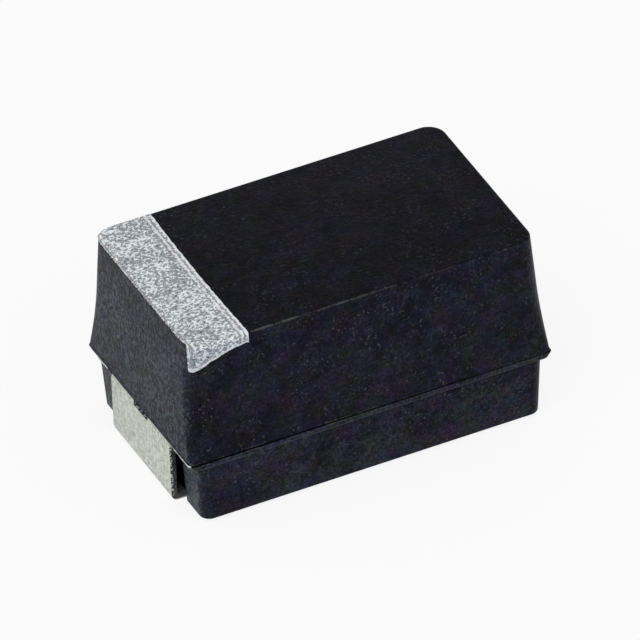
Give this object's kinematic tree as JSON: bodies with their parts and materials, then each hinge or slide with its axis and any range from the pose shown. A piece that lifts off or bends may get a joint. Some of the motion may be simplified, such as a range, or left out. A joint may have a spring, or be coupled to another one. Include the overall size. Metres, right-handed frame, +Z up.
{
  "type": "tantalum capacitor",
  "caption": "Moulded surface-mount tantalum capacitor: drafted black case, pale polarity band at the anode end and solder terminals folded under the ends.",
  "frame": {"origin": "bottom centre, on the plane that the solder pads stand on", "axes": "+X towards the cathode end, -X towards the marked anode end, +Z up, away from the solder pads"},
  "size_m": [0.0072, 0.0044, 0.0039],
  "materials": {
    "case_moulding": "fine-grained matte black moulding compound",
    "tinned_strip": "matte tin plating on a nickel-iron strip",
    "band_mark": "pale speckled marking in close scan lines",
    "sintered_tantalum": "porous sintered metal",
    "tantalum_wire": "drawn wire",
    "fluoropolymer": "smooth white fluoropolymer",
    "manganese_dioxide": "rough black oxide",
    "graphite": "satin dark grey carbon",
    "silver_paint": "matte silver-filled resin",
    "weld_metal": "fused bead"
  },
  "bodies": {
    "root": {"moulded_case": "case_moulding", "anode_terminal": "tinned_strip", "cathode_terminal": "tinned_strip", "polarity_band": "band_mark", "tantalum_pellet": "sintered_tantalum", "riser_wire": "tantalum_wire", "washer": "fluoropolymer", "manganese_dioxide_coat": "manganese_dioxide", "graphite_coat": "graphite", "silver_coat": "silver_paint", "silver_adhesive": "silver_paint", "weld_nugget": "weld_metal"}
  },
  "joints": []
}
